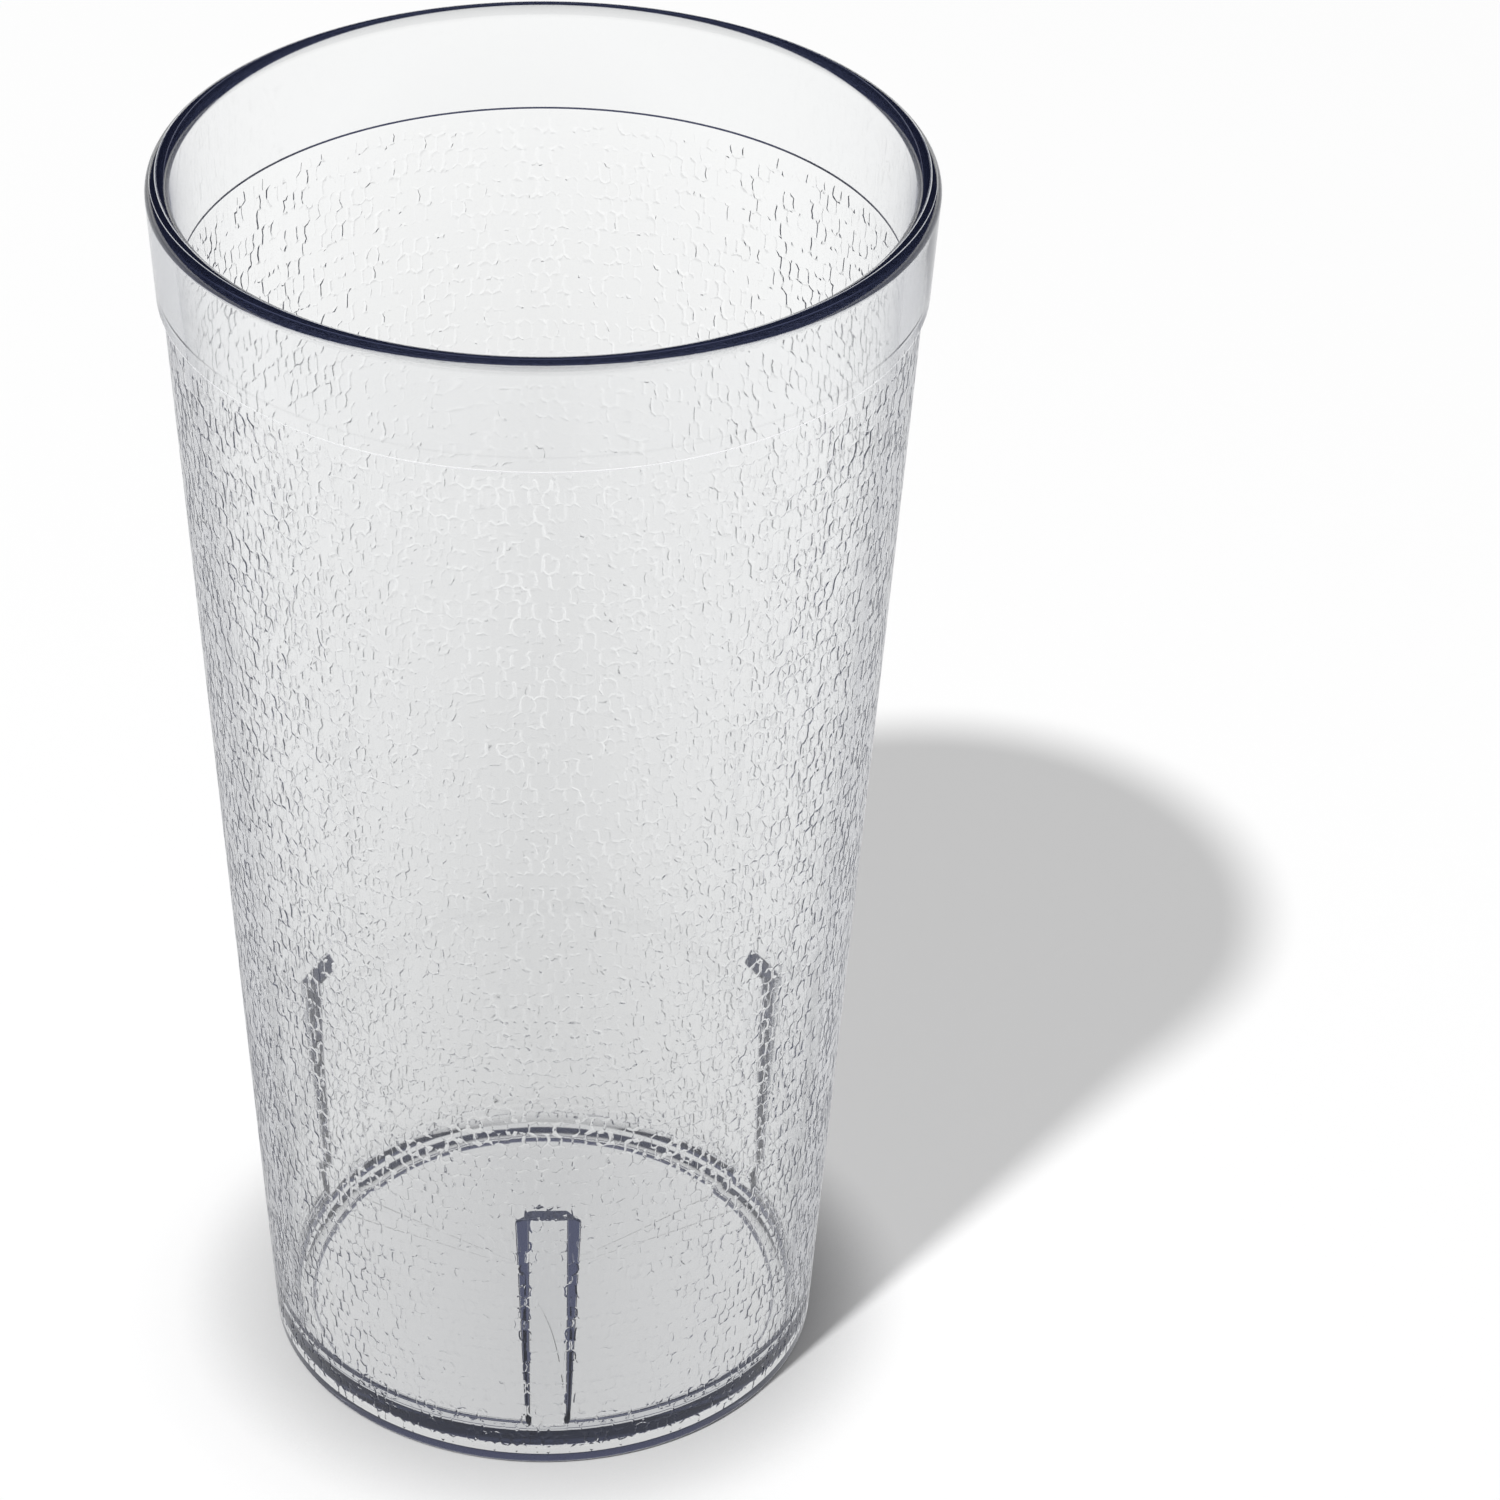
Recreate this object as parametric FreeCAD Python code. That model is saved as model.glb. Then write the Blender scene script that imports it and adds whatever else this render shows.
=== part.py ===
"""Stacking tumbler: one injection moulding in clear plastic, with no handle and no other pieces.

The cup is a solid of revolution about Z with a full-round lip, a smooth band below it, a drafted wall,
a thin floor and a low foot ring. Three lugs stand inside the wall, so that a tumbler stacked in this one
stops on them and pulls out again. Units are millimetres, +Z is up, and the origin is the middle of the
circle that the foot ring stands on.
"""

import FreeCAD
import Part

import math
import os

# Overall size
height = 156.8
rim_radius = 43.5

# Lip: a full round as thick as the wall there
lip_thickness = 2.7

# Smooth band under the lip, which stands proud of the grained wall by one small ledge
band_height = 13.3
band_ledge = 0.62
ledge_round = 0.1

# Outside wall and foot
foot_radius = 33.3
foot_round = 0.7
ring_width = 3.7
recess_depth = 1.4
recess_round = 0.5

# Inside wall and floor
floor_top = 3.0
bore_radius_at_floor = 31.3
floor_fillet = 4.2

# Stacking lugs, the first of them towards -Y, which carry the foot ring of the next tumbler up
lug_count = 3
lug_top = 38.1
lug_reach = 31.15
lug_crest_width = 4.3
lug_flank_slope = 0.735
lug_edge_round = 0.4
lug_draft = 0.011
lug_sunk = 1.0

up = FreeCAD.Vector(0, 0, 1)
centre = FreeCAD.Vector(0, 0, 0)


def at(radius, z):
    """A point of the half section, which lies in the XZ plane."""
    return FreeCAD.Vector(radius, 0, z)


def line(start, end):
    return Part.LineSegment(start, end).toShape()


def arc(start, middle, end):
    return Part.Arc(start, middle, end).toShape()


def unit(vector):
    return FreeCAD.Vector(vector).normalize()


def rounded(before, corner, after, radius):
    """The two tangent points and the middle of the arc that rounds a corner of the section."""
    to_before = unit(before - corner)
    to_after = unit(after - corner)
    half = to_before.getAngle(to_after) / 2
    bisector = unit(to_before + to_after)
    run = radius / math.tan(half)
    middle = corner + bisector * (radius / math.sin(half) - radius)
    return corner + to_before * run, middle, corner + to_after * run


def bore_radius(z):
    """Inside radius of the drafted wall at a height."""
    lip_centre_z = height - lip_thickness / 2
    draft = (rim_radius - lip_thickness - bore_radius_at_floor) / (lip_centre_z - floor_top)
    return bore_radius_at_floor + draft * (z - floor_top)


def half_section():
    """The closed outline that is turned about Z, from the floor's centre outwards and back inside."""
    lip_radius = lip_thickness / 2
    lip_z = height - lip_radius
    lip_outer = at(rim_radius, lip_z)
    lip_crest = at(rim_radius - lip_radius, height)
    lip_inner = at(rim_radius - lip_thickness, lip_z)
    diagonal = lip_radius * math.sqrt(0.5)
    lip_outer_middle = at(rim_radius - lip_radius + diagonal, lip_z + diagonal)
    lip_inner_middle = at(rim_radius - lip_radius - diagonal, lip_z + diagonal)

    ledge_z = height - band_height
    draft = (rim_radius - band_ledge - foot_radius) / lip_z
    wall_at_ledge = foot_radius + draft * ledge_z
    ledge_inner = at(wall_at_ledge, ledge_z)
    ledge_outer = at(wall_at_ledge + band_ledge, ledge_z)

    axis_under = at(0, recess_depth)
    recess_corner = at(foot_radius - ring_width, recess_depth)
    ring_inner = at(foot_radius - ring_width, 0)
    foot_corner = at(foot_radius, 0)
    floor_corner = at(bore_radius_at_floor, floor_top)
    axis_top = at(0, floor_top)

    recess = rounded(axis_under, recess_corner, ring_inner, recess_round)
    foot = rounded(ring_inner, foot_corner, ledge_inner, foot_round)
    ledge = rounded(ledge_inner, ledge_outer, lip_outer, ledge_round)
    fillet = rounded(lip_inner, floor_corner, axis_top, floor_fillet)

    edges = [
        line(axis_under, recess[0]),
        arc(*recess),
        line(recess[2], ring_inner),
        line(ring_inner, foot[0]),
        arc(*foot),
        line(foot[2], ledge_inner),
        line(ledge_inner, ledge[0]),
        arc(*ledge),
        line(ledge[2], lip_outer),
        arc(lip_outer, lip_outer_middle, lip_crest),
        arc(lip_crest, lip_inner_middle, lip_inner),
        line(lip_inner, fillet[0]),
        arc(*fillet),
        line(fillet[2], axis_top),
        line(axis_top, axis_under),
    ]
    return Part.Face(Part.Wire(edges))


def stacking_lug():
    """A trapezoid prism, cut off inside the wall, whose greater draft swallows most of it near the floor."""
    half_crest = lug_crest_width / 2
    low_z = floor_top - 0.5
    rise = lug_top - low_z
    crest = lug_reach - lug_draft * rise
    buried = bore_radius(lug_top) + 2 * lug_sunk
    half_root = half_crest + lug_flank_slope * (buried - crest)

    root_left = FreeCAD.Vector(-half_root, -buried, low_z)
    crest_left = FreeCAD.Vector(-half_crest, -crest, low_z)
    crest_right = FreeCAD.Vector(half_crest, -crest, low_z)
    root_right = FreeCAD.Vector(half_root, -buried, low_z)
    left = rounded(root_left, crest_left, crest_right, lug_edge_round)
    right = rounded(crest_left, crest_right, root_right, lug_edge_round)

    edges = [
        line(root_left, left[0]),
        arc(*left),
        line(left[2], right[0]),
        arc(*right),
        line(right[2], root_right),
        line(root_right, root_left),
    ]
    prism = Part.Face(Part.Wire(edges)).extrude(FreeCAD.Vector(0, -lug_draft * rise, rise))
    low_radius = bore_radius(low_z) + lug_sunk
    top_radius = bore_radius(lug_top) + lug_sunk
    return prism.common(Part.makeCone(low_radius, top_radius, rise, at(0, low_z)))


def tumbler():
    cup = half_section().revolve(centre, up, 360)
    for number in range(lug_count):
        lug = stacking_lug()
        lug.rotate(centre, up, 360 * number / lug_count)
        cup = cup.fuse(lug)
    return cup


os.makedirs("parts", exist_ok=True)
shape = tumbler()
assert shape.isValid() and len(shape.Solids) == 1
shape.Solids[0].exportStep("parts/tumbler.step")
print("volume mm3", round(shape.Volume), "height mm", round(shape.BoundBox.ZLength, 3))
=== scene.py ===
import math

import bpy
import numpy as np
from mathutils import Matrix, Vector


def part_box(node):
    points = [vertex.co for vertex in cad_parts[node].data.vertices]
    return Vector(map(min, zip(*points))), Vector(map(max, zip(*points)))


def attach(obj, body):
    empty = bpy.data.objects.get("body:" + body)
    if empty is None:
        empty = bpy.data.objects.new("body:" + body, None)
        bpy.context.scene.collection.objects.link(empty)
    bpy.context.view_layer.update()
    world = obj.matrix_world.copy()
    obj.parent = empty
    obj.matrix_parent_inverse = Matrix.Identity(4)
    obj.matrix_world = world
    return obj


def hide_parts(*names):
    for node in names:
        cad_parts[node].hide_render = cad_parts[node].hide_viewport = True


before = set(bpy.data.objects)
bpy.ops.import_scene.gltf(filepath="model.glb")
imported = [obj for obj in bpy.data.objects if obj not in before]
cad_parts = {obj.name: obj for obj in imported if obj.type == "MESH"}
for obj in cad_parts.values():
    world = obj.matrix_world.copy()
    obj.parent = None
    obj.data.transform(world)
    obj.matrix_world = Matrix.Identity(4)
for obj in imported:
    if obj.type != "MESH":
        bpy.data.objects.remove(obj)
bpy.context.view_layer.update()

# ==== The tumbler ===================================================================================
# One injection moulding in clear styrene-acrylonitrile, with no other pieces. A polished core makes the
# inside, a cavity etched with a pebble grain makes the outside, and a stripper ring makes the lip.

millimetre = 0.001
full_turn = 2 * math.pi
highest_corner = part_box("tumbler")[1]
rim_radius = highest_corner[0]
height = highest_corner[2]

lip_thickness = 2.7 * millimetre
band_height = 13.3 * millimetre
band_ledge = 0.62 * millimetre
foot_radius = 33.3 * millimetre
floor_top = 3.0 * millimetre
bore_radius_at_floor = 31.3 * millimetre

lip_radius = lip_thickness / 2
lip_z = height - lip_radius
wall_draft = (rim_radius - band_ledge - foot_radius) / lip_z
wall_lean = math.atan(wall_draft)
bore_draft = (rim_radius - lip_thickness - bore_radius_at_floor) / (lip_z - floor_top)
bore_lean = math.atan(bore_draft)


def wall_radius(z):
    """Radius of the outside wall at a height: a cone that opens by the draft, from the foot up."""
    return foot_radius + wall_draft * z


def bore_radius(z):
    """Radius of the inside wall at a height: a cone that opens by the core's draft, from the floor up."""
    return bore_radius_at_floor + bore_draft * (z - floor_top)


def turn_angles(count):
    """The angles of count even steps of a full turn."""
    return np.arange(count) * full_turn / count


def ring(radius, z, angles):
    """Points at a radius and height for each angle: x is r cos a and y is r sin a."""
    radius = np.broadcast_to(radius, angles.shape)
    z = np.broadcast_to(z, angles.shape)
    return np.stack([radius * np.cos(angles), radius * np.sin(angles), z], axis=1)


def arc(centre_radius, centre_z, radius, start, end, steps):
    """Rows of radius and height on an arc: its centre plus r cos t outwards and r sin t up.

    The turn t goes from start to end in even steps, from 0 outwards to a quarter turn upwards.
    """
    turn = np.linspace(start, end, steps + 1)
    return np.stack([centre_radius + radius * np.cos(turn), centre_z + radius * np.sin(turn)], axis=1)


class Skin:
    """The moulding's whole skin, walked in rings from under the floor, up the outside and down the bore.

    Walked that way round, with each ring's angles rising, every face points out of the plastic.
    """

    def __init__(self):
        self.points = []
        self.grooves = []
        self.faces = []
        self.count = 0

    def add(self, points, groove=0.0):
        """Adds points, with how deep in the grain's grooves each one lies, and gives their numbers."""
        self.points.append(points)
        self.grooves.append(np.broadcast_to(groove, len(points)))
        self.count += len(points)
        return np.arange(self.count - len(points), self.count)

    def hub(self, z):
        """Adds the point of the axis at a height."""
        return self.add(np.array([[0.0, 0.0, z]]))[0]

    def face(self, one, two, three):
        """Adds triangles: each argument is an array of point numbers, or one number for all."""
        self.faces.append(np.stack(np.broadcast_arrays(one, two, three), axis=1))

    def bridge(self, below, above):
        """Joins two rings with as many points by two triangles at each step."""
        self.face(below, np.roll(below, -1), np.roll(above, -1))
        self.face(below, np.roll(above, -1), above)

    def stitch(self, below, above, below_angles, above_angles):
        """Joins rings with other counts: each edge meets the point opposite that its middle falls beside."""

        def in_turn(numbers, angles):
            order = np.argsort(angles % full_turn, kind="stable")
            angles = angles[order] % full_turn
            return numbers[order], (angles + np.append(angles[1:], angles[0] + full_turn)) / 2

        below, low_middles = in_turn(below, below_angles)
        above, high_middles = in_turn(above, above_angles)
        tip = above[np.searchsorted(high_middles, low_middles, side="left") % len(above)]
        self.face(below, np.roll(below, -1), tip)
        tip = below[np.searchsorted(low_middles, high_middles, side="right") % len(below)]
        self.face(tip, np.roll(above, -1), above)

    def course(self, last, profile, angles):
        """Carries rows of radius and height round the axis, on from the last ring, and gives the new last."""
        for radius, z in profile:
            following = self.add(ring(radius, z, angles))
            self.bridge(last, following)
            last = following
        return last


skin = Skin()

# Underside: the recess that leaves a foot ring, the ring's standing face, and the foot's outer round
ring_width = 3.7 * millimetre
ring_edge = 0.12 * millimetre
recess_depth = 1.4 * millimetre
recess_round = 0.5 * millimetre
foot_round = 0.7 * millimetre
foot_count = 200
recess_steps = 5
foot_steps = 8

foot_angles = turn_angles(foot_count)
recess_radius = foot_radius - ring_width
foot_centre = foot_radius + wall_draft * foot_round - foot_round / math.cos(wall_lean)
recess_centre = (recess_radius - recess_round, recess_depth - recess_round)
recess_corner = arc(*recess_centre, recess_round, math.pi / 2, 0, recess_steps)
ring_inner_edge = [(recess_radius, ring_edge), (recess_radius + ring_edge, 0.0)]
foot_corner = arc(foot_centre, foot_round, foot_round, -math.pi / 2, -wall_lean, foot_steps)

last = skin.add(ring(*recess_corner[0], foot_angles))
skin.face(skin.hub(recess_depth), np.roll(last, -1), last)
last = skin.course(last, recess_corner[1:], foot_angles)
last = skin.course(last, ring_inner_edge, foot_angles)
last = skin.course(last, foot_corner, foot_angles)

# Pebble grain: each pebble is a cell of a honeycomb that has wandered, made of twelve triangles that fall
# from its middle to the grooves round it. The upright grooves bow, and run from deep to faint.
grain_columns = 162
pebble_stretch = 1.5
pebble_point = 0.12
grain_low = 1.2 * millimetre
grain_high = height - band_height - 0.4 * millimetre
grain_depth = 0.03 * millimetre
pebble_wander = (0.42, 0.22)
groove_bow = (0.28, 0.11)
faintest_upright = 0.55
faintest_slant = 0.45
deepest_slant = 1.0
chance = np.random.default_rng(7)

half_columns = 2 * grain_columns
seam_count = 2 * half_columns
radius_low = wall_radius(grain_low)
radius_high = wall_radius(grain_high)
row_growth = wall_draft * pebble_stretch * math.sqrt(0.75) * full_turn / grain_columns
grain_rows = round(math.log(radius_high / radius_low) / math.log(1 + row_growth))


def grain_points(places, sunk):
    """Points of the grained wall at (half column, row) places, sunk by this share of the grain's depth.

    Each row multiplies the radius by the same step, so that pebbles keep their proportions all the way up.
    """
    radius = radius_low * (radius_high / radius_low) ** (places[..., 1] / grain_rows)
    z = (radius - foot_radius) / wall_draft
    angle = places[..., 0] * full_turn / half_columns
    radius = radius - grain_depth * sunk
    return np.stack([radius * np.cos(angle), radius * np.sin(angle), z], axis=-1)


def between(one, other, reach):
    """Places halfway between others, moved at random by up to this many half columns and rows."""
    return (one + other) / 2 + chance.uniform(-1, 1, one.shape) * reach


def plain_ring(row):
    """The places of the plain ring that ends the grain, with two to each half column."""
    return np.stack([np.arange(seam_count) / 2, np.full(seam_count, row)], axis=1)


# Each pebble has its own place, and the empty places between two pebbles share their drift
column, row = np.meshgrid(np.arange(half_columns), np.arange(grain_rows))
on_pebble = (column - row) % 2 == 0
own_drift = chance.uniform(-1, 1, (grain_rows, half_columns, 2)) * pebble_wander
shared_drift = (np.roll(own_drift, 1, axis=1) + np.roll(own_drift, -1, axis=1)) / 2
drift = np.where(on_pebble[:, :, None], own_drift, shared_drift)
pebble_places = np.stack([column, row + 0.5], axis=-1) + drift

# Three grooves meet at each column of the zigzag between two rows of pebbles. It drifts by the mean of the
# three pebbles there: one in one row, and the two that share the empty place in the other. An upright
# groove keeps one depth all along, and a slanting one goes through a depth of its own.
over_pebble = on_pebble[:-1]
lower_share = np.where(over_pebble, 1 / 3, 2 / 3)[:, :, None]
zigzag = row[1:] + np.where(over_pebble, pebble_point, -pebble_point)
meetings = np.stack([column[1:], zigzag], axis=-1) + lower_share * drift[:-1] + (1 - lower_share) * drift[1:]
next_meetings = np.roll(meetings, -1, axis=1)
next_meetings[:, -1, 0] += half_columns
slants = between(meetings, next_meetings, groove_bow)
upright_depth = chance.uniform(faintest_upright, 1.0, on_pebble.shape)
meeting_depth = np.where(on_pebble[1:], upright_depth[:-1], upright_depth[1:])
slant_depth = chance.uniform(faintest_slant, deepest_slant, meeting_depth.shape)
seam_places = np.stack([meetings, slants], axis=2).reshape(-1, 2)
seam_depth = np.stack([meeting_depth, slant_depth], axis=2).reshape(-1)

plain_low = plain_ring(0)
plain_high = plain_ring(grain_rows)
bottom = skin.add(grain_points(plain_low, 0.0))
skin.stitch(last, bottom, foot_angles, turn_angles(seam_count))
seams = skin.add(grain_points(seam_places, seam_depth), seam_depth)
top = skin.add(grain_points(plain_high, 0.0))
seams = np.concatenate([bottom, seams, top]).reshape(-1, seam_count)

feet = np.concatenate([plain_low[None, ::2], meetings])
heads = np.concatenate([meetings, plain_high[None, ::2]])
upright_places = between(feet, heads, groove_bow)[~on_pebble]
upright_sunk = upright_depth[~on_pebble]
uprights = np.zeros(on_pebble.shape, int)
uprights[~on_pebble] = skin.add(grain_points(upright_places, upright_sunk), upright_sunk)

pebbles = skin.add(grain_points(pebble_places[on_pebble], 0.0))
pebble_row, pebble_column = np.nonzero(on_pebble)
along = np.arange(-2, 3)[:, None] + 2 * pebble_column
around = [
    *seams[pebble_row, along % seam_count],
    uprights[pebble_row, (pebble_column + 1) % half_columns],
    *seams[pebble_row + 1, along[::-1] % seam_count],
    uprights[pebble_row, (pebble_column - 1) % half_columns],
]
for one, following in zip(around, around[1:] + around[:1]):
    skin.face(pebbles, one, following)

# Smooth band, proud of the grain by a narrow ledge, and the lip, a full round
ledge_slope = 0.06
ledge_inner_edge = 0.03 * millimetre
ledge_round = 0.06 * millimetre
ledge_steps = 3
lip_count = 256
lip_steps = 20

ledge_z = height - band_height
ledge_radius = wall_radius(ledge_z)
ledge_rise = ledge_slope * (band_ledge - ledge_round)
ledge_foot = [
    (ledge_radius, ledge_z - ledge_inner_edge),
    (ledge_radius + ledge_inner_edge, ledge_z),
]
round_z = ledge_z + ledge_rise + ledge_round
round_radius = ledge_radius + band_ledge - ledge_round
ledge_corner = arc(round_radius, round_z, ledge_round, -math.pi / 2, 0, ledge_steps)
lip = arc(rim_radius - lip_radius, lip_z, lip_radius, -wall_lean, math.pi + bore_lean, lip_steps)

ledge_angles = turn_angles(seam_count)
last = skin.course(top, ledge_foot, ledge_angles)
last = skin.course(last, ledge_corner, ledge_angles)
lip_angles = turn_angles(lip_count)
following = skin.add(ring(*lip[0], lip_angles))
skin.stitch(last, following, ledge_angles, lip_angles)
last = skin.course(following, lip[1:], lip_angles)

# Bore with three stacking lugs, flat crested with slanting flanks: a tumbler dropped inside stops on their
# tops. The wall's greater draft swallows them towards the floor, which meets the wall in a fillet.
lug_count = 3
lug_top = 38.1 * millimetre
lug_reach = 31.15 * millimetre
lug_half_crest = 2.15 * millimetre
lug_flank_slope = 0.735
lug_draft = 0.011
lug_top_round = 0.5 * millimetre
lug_top_fillet = 0.3 * millimetre
crest_round = 0.4 * millimetre
root_round = 0.2 * millimetre
floor_fillet = 4.2 * millimetre
fillet_steps = 14

lug_middles = -math.pi / 2 + turn_angles(lug_count)
crest_angle = math.atan(lug_half_crest / lug_reach)
flank_offset = lug_flank_slope * lug_reach - lug_half_crest
flank_length = math.hypot(lug_flank_slope, 1)
flank_tilt = math.atan(1 / lug_flank_slope)
clear_of_crest = 0.004


def root_angle(wall):
    """Angle from a lug's middle at which its flank plane runs into a bore of this radius.

    A ray at angle a meets the plane at offset / (slope cos a - sin a), and this is that solved for a.
    """
    meeting = np.arccos(np.minimum(flank_offset / (flank_length * wall), 1)) - flank_tilt
    return np.maximum(meeting, crest_angle + clear_of_crest)


# Columns of points crowd where a lug bends: seven at the crest's edge and five at the root. Each crowd is so
# many radians to a side, and draws in where the flank between the two grows short.
crest_columns = np.array([0, 0.3, 0.6, 0.8])
crest_edge_columns = np.array([-1, -0.7, -0.4, -0.1, 0.2, 0.5, 0.8])
flank_columns = np.array([1 / 3, 2 / 3])
root_columns = np.array([-0.9, -0.45, 0, 0.45, 0.9])
open_columns = 22
crest_edge_crowd = 0.013
tightest_crest_edge = 0.006
crest_edge_share = 0.35
root_crowd = 0.0045
root_share = 0.4


def lug_columns(wall):
    """Angles of the columns from halfway to one neighbour, over the lug's middle, to halfway to the other."""
    root = root_angle(wall)
    flank = root - crest_angle
    crest_spread = min(crest_edge_crowd, crest_edge_share * flank + tightest_crest_edge)
    root_spread = min(root_crowd, root_share * flank)
    crest_edge = crest_angle + crest_edge_columns * crest_spread
    root_edge = root + root_columns * root_spread
    mid_flank = crest_edge[-1] + (root_edge[0] - crest_edge[-1]) * flank_columns
    open_wall = np.linspace(root_edge[-1], math.pi / lug_count, open_columns)[1:]
    side = np.concatenate([crest_columns * crest_angle, crest_edge, mid_flank, root_edge, open_wall])
    return np.concatenate([-side[:0:-1], side[:-1]])


def nearer_axis(one, other, width):
    """The smaller of two radii, with the corner between the two surfaces rounded over this width.

    It is the smaller less width * near squared / 4, and near falls from 1 where the two radii are equal to 0
    where they differ by the width.
    """
    near = np.maximum(width - np.abs(one - other), 0) / width
    return np.minimum(one, other) - near * near * width / 4


least_slant = 0.01
far_outside = 1.0


def lug_surface(offset):
    """Radius of a lug at angles from its middle: a flat crest, at reach / cos a, between slanting planes.

    A flank lies at offset / (slope cos a - sin a), or far outside where it turns away from the axis.
    """
    away = np.abs(offset)
    crest = lug_reach / np.cos(away)
    slant = lug_flank_slope * np.cos(away) - np.sin(away)
    flank = np.where(slant > least_slant, flank_offset / np.maximum(slant, least_slant), far_outside)
    return -nearer_axis(-crest, -flank, crest_round)


def bore_ring(wall, z, inset=0.0, cap=math.inf):
    """Points and angles of one ring of the bore: the wall, or a lug where it stands further in.

    The lug's faces lie deeper by the inset, and the lug stands out of the wall by the cap at the most.
    """
    lean = lug_draft * max(lug_top - z, 0)
    offsets = lug_columns(wall + lean)
    radius = nearer_axis(np.full_like(offsets, wall), lug_surface(offsets) + inset - lean, root_round)
    radius = np.maximum(radius, wall - cap)
    angles = (lug_middles[:, None] + offsets[None, :]).reshape(-1)
    return ring(np.tile(radius, lug_count), z, angles), angles


# Rings go down the open bore, inwards over each lug's top by its fillet and its round, and on to the floor
open_rings = 9
lug_fillet_rings = 4
lug_round_rings = 6
lugged_rings = 7
below_lip = 2 * millimetre
above_lugs = 4 * millimetre
top_gap = 0.01 * millimetre
below_lug_tops = 3 * millimetre
above_fillet = 1 * millimetre

fillet_centre = bore_radius_at_floor - floor_fillet * math.tan(math.pi / 4 - bore_lean / 2)
fillet = arc(fillet_centre, floor_top + floor_fillet, floor_fillet, bore_lean, -math.pi / 2, fillet_steps)
open_bore = np.linspace(lip_z - below_lip, lug_top + above_lugs, open_rings)
lugged_bore = np.linspace(lug_top - below_lug_tops, fillet[0, 1] + above_fillet, lugged_rings)

bore_rings = [bore_ring(bore_radius(z), z, cap=0.0) for z in open_bore]
for turn in np.linspace(0, math.pi / 2, lug_fillet_rings):
    z = lug_top + top_gap + lug_top_fillet * (1 - math.sin(turn))
    bore_rings.append(bore_ring(bore_radius(z), z, lug_top_round, lug_top_fillet * (1 - math.cos(turn))))
for turn in np.linspace(math.pi / 2, 0, lug_round_rings):
    z = lug_top - lug_top_round * (1 - math.sin(turn))
    bore_rings.append(bore_ring(bore_radius(z), z, lug_top_round * (1 - math.cos(turn))))
for z in lugged_bore:
    bore_rings.append(bore_ring(bore_radius(z), z))
for wall, z in fillet:
    bore_rings.append(bore_ring(wall, z))

points, bore_angles = bore_rings[0]
following = skin.add(points)
skin.stitch(last, following, lip_angles, bore_angles)
for points, bore_angles in bore_rings[1:]:
    last, following = following, skin.add(points)
    skin.bridge(last, following)
skin.face(following, np.roll(following, -1), skin.hub(floor_top))

# The mesh: each point takes the mean direction of the faces that meet there, large ones counting most.
# On the grain it takes the plain cone's, because the finish shapes the light's way through the grooves.
points = np.concatenate(skin.points)
faces = np.concatenate(skin.faces)
one, two, three = (points[faces[:, corner]] for corner in range(3))
facing = np.cross(two - one, three - one)
normals = np.zeros_like(points)
for corner in range(3):
    np.add.at(normals, faces[:, corner], facing)
normals /= np.linalg.norm(normals, axis=1)[:, None]

grained = np.zeros(len(points), bool)
grained[bottom[0] : pebbles[-1] + 1] = True
across = np.hypot(points[:, 0], points[:, 1]).clip(millimetre)
cone = np.stack([points[:, 0] / across, points[:, 1] / across, np.full(len(points), -wall_draft)], axis=1)
normals = np.where(grained[:, None], cone * math.cos(wall_lean), normals)

mesh = bpy.data.meshes.new("clear_tumbler")
mesh.from_pydata(points, [], faces)
groove_depth = mesh.attributes.new("groove", "FLOAT", "POINT")
groove_depth.data.foreach_set("value", np.concatenate(skin.grooves).astype(np.float32))
mesh.shade_smooth()
mesh.normals_split_custom_set_from_vertices(normals)
tumbler = bpy.data.objects.new("clear_tumbler", mesh)
scene = bpy.context.scene
scene.collection.objects.link(tumbler)


class Socket:
    """A shader node's output that takes part in arithmetic, each operation adding a Math node to its tree."""

    def __init__(self, tree, output=None):
        self.tree = tree
        self.output = output

    def node(self, kind, settings, sockets):
        """Adds any node: its settings are set first, then the values or links of its sockets."""
        made = self.tree.nodes.new(kind)
        for name, value in settings.items():
            setattr(made, name, value)
        for name, value in sockets.items():
            if isinstance(value, Socket):
                self.tree.links.new(value.output, made.inputs[name])
            else:
                made.inputs[name].default_value = value
        return Socket(self.tree, made.outputs[0] if len(made.outputs) else None)

    def __getitem__(self, name):
        """Another output of the same node."""
        return Socket(self.tree, self.output.node.outputs[name])

    def math(self, operation, *values):
        return self.node("ShaderNodeMath", {"operation": operation}, dict(enumerate(values)))

    def __add__(self, other):
        return self.math("ADD", self, other)

    def __sub__(self, other):
        return self.math("SUBTRACT", self, other)

    def __rsub__(self, other):
        return self.math("SUBTRACT", other, self)

    def __mul__(self, other):
        return self.math("MULTIPLY", self, other)

    __radd__ = __add__
    __rmul__ = __mul__

    def ramp(self, start, end, low, high):
        """Low up to start and high from end on, with a smooth curve between."""
        return self.node(
            "ShaderNodeMapRange",
            {"interpolation_type": "SMOOTHSTEP"},
            {"Value": self, "From Min": start, "From Max": end, "To Min": low, "To Max": high},
        )


def shader_tree(owner):
    """An empty node tree on a material or a world, to build on."""
    owner.use_nodes = True
    owner.node_tree.nodes.clear()
    return Socket(owner.node_tree)


# Clear plastic: hard gloss, as refractive as the real one, a little grey with a blue cast that deepens
# where light runs along the wall. The grooves are rounded channels with wavering edges.
plastic_gloss = 0.02
plastic_ior = 1.57
absorbed_each_metre = np.array([12.0, 11.0, 9.5])
absorbing_density = 100.0
groove_drop = 0.072 * millimetre
groove_start = 0.60
groove_waver = 0.15
waver_scale = 1300.0
waver_middle = 0.5
white = (1.0, 1.0, 1.0, 1.0)

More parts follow.
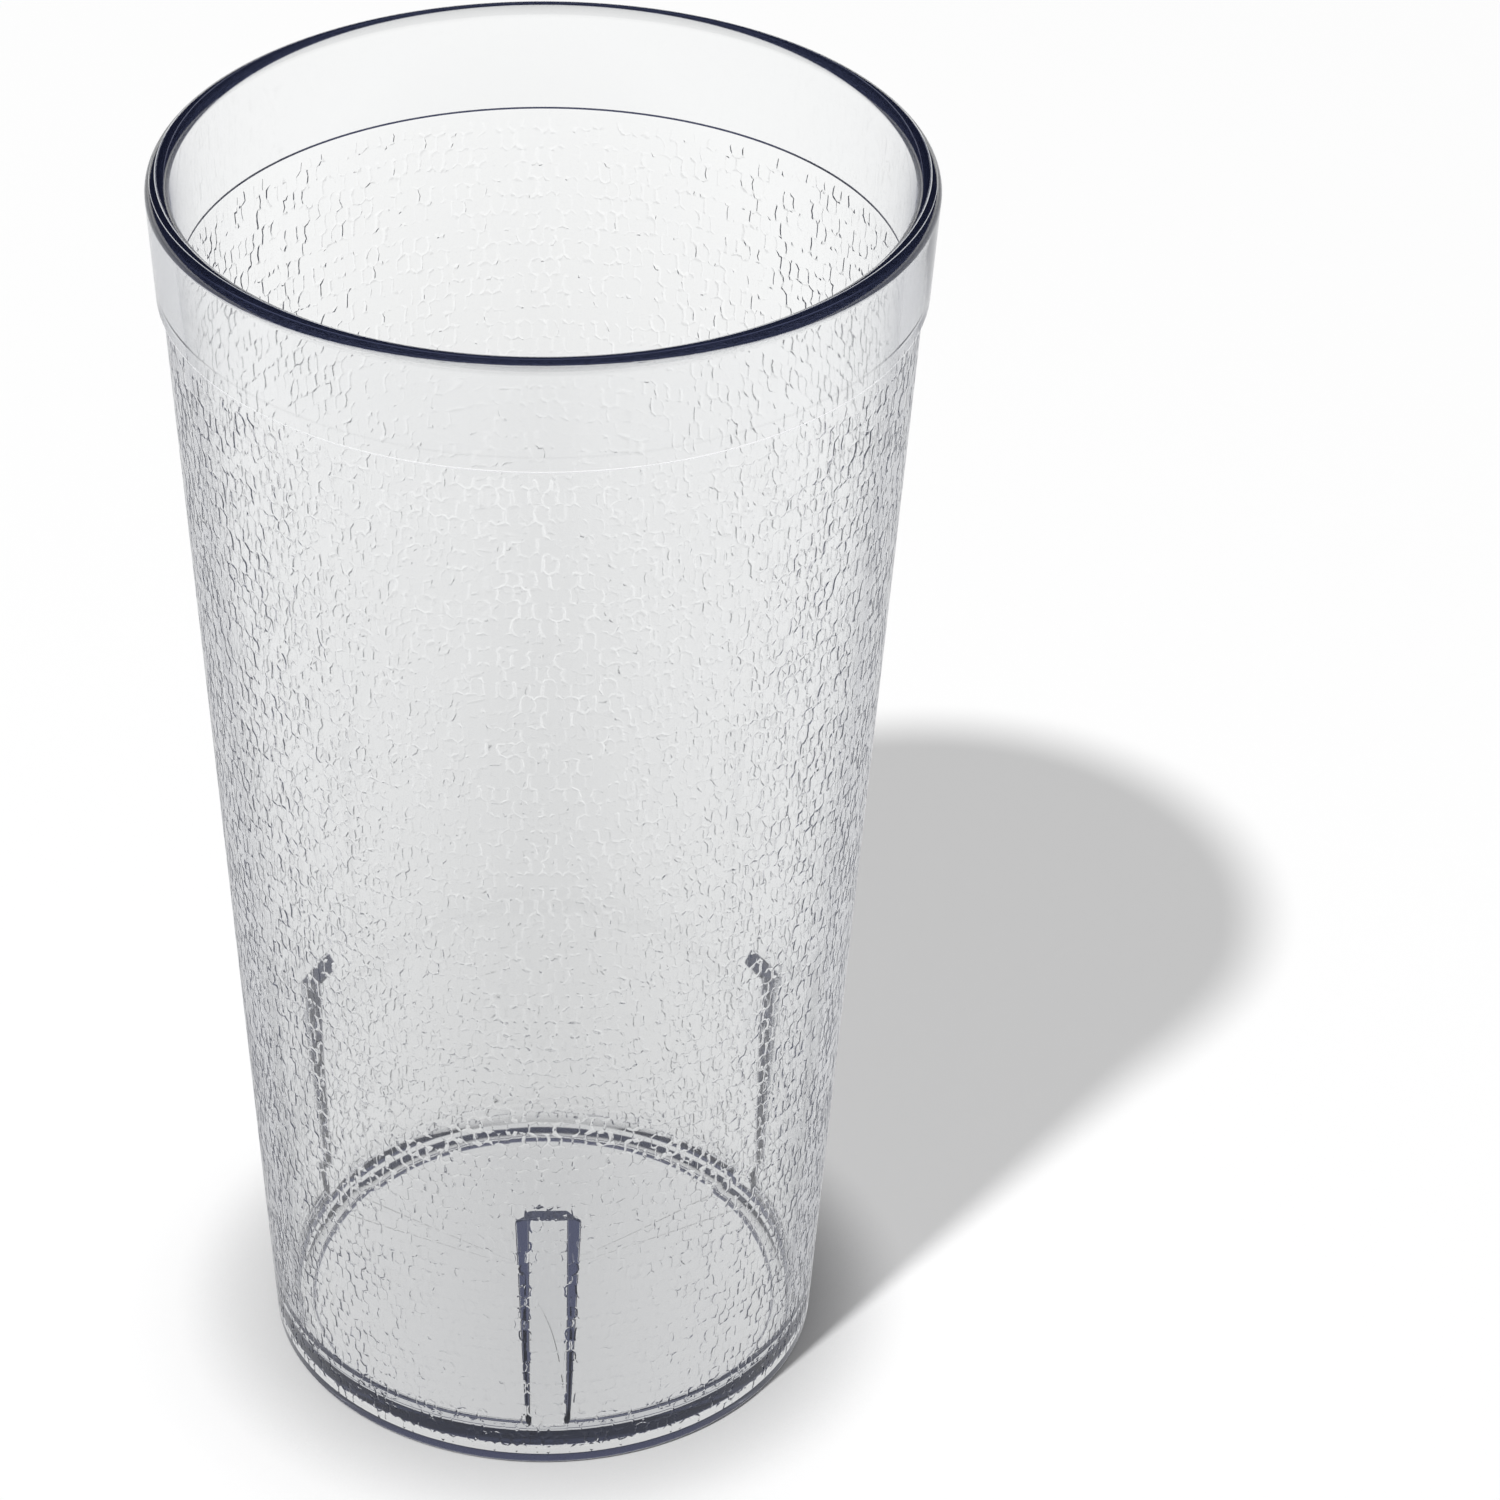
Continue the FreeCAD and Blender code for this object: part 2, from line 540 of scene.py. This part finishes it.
clear = bpy.data.materials.new("clear_plastic")
tree = shader_tree(clear)
groove = tree.node("ShaderNodeAttribute", {"attribute_name": "groove"}, {})["Fac"]
place = tree.node("ShaderNodeTexCoord", {}, {})["Object"]
waver = tree.node("ShaderNodeTexNoise", {}, {"Vector": place, "Scale": waver_scale, "Detail": 1.0})
channel = (groove + (waver - waver_middle) * groove_waver).ramp(groove_start, 1.0, 0.0, -1.0)
bump = tree.node("ShaderNodeBump", {}, {"Strength": 1.0, "Distance": groove_drop, "Height": channel})
surface = tree.node(
    "ShaderNodeBsdfPrincipled",
    {},
    {
        "Base Color": white,
        "Roughness": plastic_gloss,
        "IOR": plastic_ior,
        "Transmission Weight": 1.0,
        "Normal": bump,
    },
)
passed = 1 - absorbed_each_metre / absorbing_density
inside = tree.node("ShaderNodeVolumeAbsorption", {}, {"Color": (*passed, 1.0), "Density": absorbing_density})
tree.node("ShaderNodeOutputMaterial", {}, {"Surface": surface, "Volume": inside})
mesh.materials.append(clear)

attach(tumbler, "root")
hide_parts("tumbler")

# ==== The table =====================================================================================
# A wide white tabletop, which keeps the tumbler's shadow from the lamps, with painted shade added that is
# darkest where the foot meets it. Seen through the plastic or in its gloss it is a plain white glow, dimmer
# near the tumbler by painted shade, against which the wall reads.

table_span = 6.0
table_drop = 0.02 * millimetre
table_fill = 0.44
contact_reach = 13 * millimetre
contact_samples = 4
# Painted shade: the glow is dimmest under the tumbler and rises with distance from it up to the brightest
# glow.
glow_under = 0.67
glow_rise_each_metre = 0.90
brightest_glow = 1.00
glow_stretch = (4.6, 1.0, 1.0)
glow_colour = (0.988, 0.992, 0.986, 1.0)
# Painted shade: the dark navy that light which turned many times inside the wall sees in place of the table.
painted_guided_table_shade = (0.078, 0.087, 0.150, 1.0)
most_turns = 2.4
fewest_turns = 0.5


def around_plastic(tree, kind, open_view, straight_colour, straight_strength, painted_guided_shade):
    """The open view, but through the plastic or in its gloss a glow that depends on the light's way there.

    The glow is the straight colour for light that hardly turned inside the wall, and goes over to the painted
    guided shade, a dark navy that stands in for light lost along the wall, by a smooth ramp of the number of
    turns.
    """
    path = tree.node("ShaderNodeLightPath", {}, {})
    in_plastic = tree.math("MAXIMUM", path["Is Glossy Ray"], path["Is Transmission Ray"])
    kept = path["Glossy Depth"].ramp(fewest_turns, most_turns, 1.0, 0.0)
    straight = tree.node(kind, {}, {"Color": straight_colour, "Strength": straight_strength})
    guided = tree.node(kind, {}, {"Color": painted_guided_shade, "Strength": 1.0})
    through_plastic = tree.node("ShaderNodeMixShader", {}, {0: kept, 1: guided, 2: straight})
    return tree.node("ShaderNodeMixShader", {}, {0: in_plastic, 1: open_view, 2: through_plastic})


table_corners = [(-1, -1), (1, -1), (1, 1), (-1, 1)]
table_points = [(x * table_span, y * table_span, -table_drop) for x, y in table_corners]
table_mesh = bpy.data.meshes.new("table")
table_mesh.from_pydata(table_points, [], [(0, 1, 2, 3)])
table = bpy.data.objects.new("table", table_mesh)
scene.collection.objects.link(table)

tabletop = bpy.data.materials.new("white_tabletop")
tree = shader_tree(tabletop)
place = tree.node("ShaderNodeTexCoord", {}, {})["Object"]
stretched = tree.node("ShaderNodeVectorMath", {"operation": "MULTIPLY"}, {0: place, 1: glow_stretch})
distance = tree.node("ShaderNodeVectorMath", {"operation": "LENGTH"}, {0: stretched})["Value"]
# Painted shade: dimmer near the tumbler.
glow = tree.math("MINIMUM", glow_under + glow_rise_each_metre * distance, brightest_glow)
lit = tree.node("ShaderNodeBsdfDiffuse", {}, {"Color": white})
contact = {"samples": contact_samples}
# Painted shade: the fill's glow falls with the square of how open the table is within the contact reach, most
# at the foot.
contact_openness = tree.node("ShaderNodeAmbientOcclusion", contact, {"Distance": contact_reach})["AO"]
fill = tree.node("ShaderNodeEmission", {}, {"Color": white, "Strength": contact_openness * contact_openness})
open_view = tree.node("ShaderNodeMixShader", {}, {0: table_fill, 1: lit, 2: fill})
shade = around_plastic(tree, "ShaderNodeEmission", open_view, glow_colour, glow, painted_guided_table_shade)
tree.node("ShaderNodeOutputMaterial", {}, {"Surface": shade})
table_mesh.materials.append(tabletop)

# ==== The studio ====================================================================================
# A white sweep that the plastic sees up to just over the horizon, with a dark room above it, which draws the
# dark lines of its edges together with painted shade for light that turned many times in the wall. Three soft
# lamps light the table, most of all the key from the left.

sweep_end = 0.10
room_start = 0.22
sweep_colour = (1.72, 1.72, 1.70, 1.0)
room_colour = (0.045, 0.052, 0.120, 1.0)
# Painted shade: the dark navy that light which turned many times inside the wall sees in place of the sweep
# and room.
painted_guided_room_shade = (0.026, 0.031, 0.060, 1.0)

world = bpy.data.worlds.new("studio")
scene.world = world
tree = shader_tree(world)
direction = tree.node("ShaderNodeTexCoord", {}, {})["Generated"]
rise = tree.node("ShaderNodeSeparateXYZ", {}, {0: direction})["Z"]
room = rise.ramp(sweep_end, room_start, 0.0, 1.0)
ends = {"Factor": room, "A": sweep_colour, "B": room_colour}
surroundings = tree.node("ShaderNodeMix", {"data_type": "RGBA"}, ends)["Result"]
in_view = tree.node("ShaderNodeLightPath", {}, {})["Is Camera Ray"]
plain = tree.node("ShaderNodeBackground", {}, {"Color": white, "Strength": in_view})
shade = around_plastic(tree, "ShaderNodeBackground", plain, surroundings, 1.0, painted_guided_room_shade)
tree.node("ShaderNodeOutputWorld", {}, {"Surface": shade})


def soft_lamp(name, place, size, share):
    """A round lamp aimed at the tumbler's foot, which gives the table this share of its light.

    The table is white at pi watts a square metre, and the lamp gives it power * z / (pi * away cubed).
    """
    data = bpy.data.lights.new(name, "AREA")
    data.shape = "DISK"
    data.size = size
    lamp = bpy.data.objects.new(name, data)
    scene.collection.objects.link(lamp)
    lamp.location = place
    lamp.rotation_mode = "QUATERNION"
    lamp.rotation_quaternion = lamp.location.to_track_quat("Z", "Y")
    away = lamp.location.length
    data.energy = share * math.pi**2 * away**3 / lamp.location.z
    lamp.visible_glossy = False
    lamp.visible_transmission = False
    lamp.visible_camera = False


soft_lamp("key", place=(-4.32, -6.36, 12.0), size=0.80, share=0.81)
soft_lamp("overhead", place=(0.3, 0.3, 12.0), size=1.1, share=0.13)
soft_lamp("front", place=(-0.17, -10.0, 6.6), size=0.8, share=0.06)

# ==== The camera ====================================================================================
# A long lens that looks down at the tumbler from in front, and a little to the left of a stacking lug.

camera_turn = math.radians(-1.0)
camera_reach = 0.5129
camera_height = 0.4199
camera_dip = math.radians(33.46)
sensor_width = 36.0
lens = 126.04
shift_across = 0.1379
shift_up = -0.00033
nearest_seen = 0.01
furthest_seen = 50.0
most_bounces = 48

view = bpy.data.cameras.new("view")
camera = bpy.data.objects.new("view", view)
scene.collection.objects.link(camera)
camera.location = (camera_reach * math.sin(camera_turn), -camera_reach * math.cos(camera_turn), camera_height)
camera.rotation_euler = (math.pi / 2 - camera_dip, 0, camera_turn)
view.sensor_width = sensor_width
view.lens = lens
view.shift_x = shift_across
view.shift_y = shift_up
view.clip_start = nearest_seen
view.clip_end = furthest_seen
scene.camera = camera

scene.view_settings.view_transform = "Standard"
scene.cycles.max_bounces = most_bounces
scene.cycles.glossy_bounces = most_bounces
scene.cycles.transmission_bounces = most_bounces
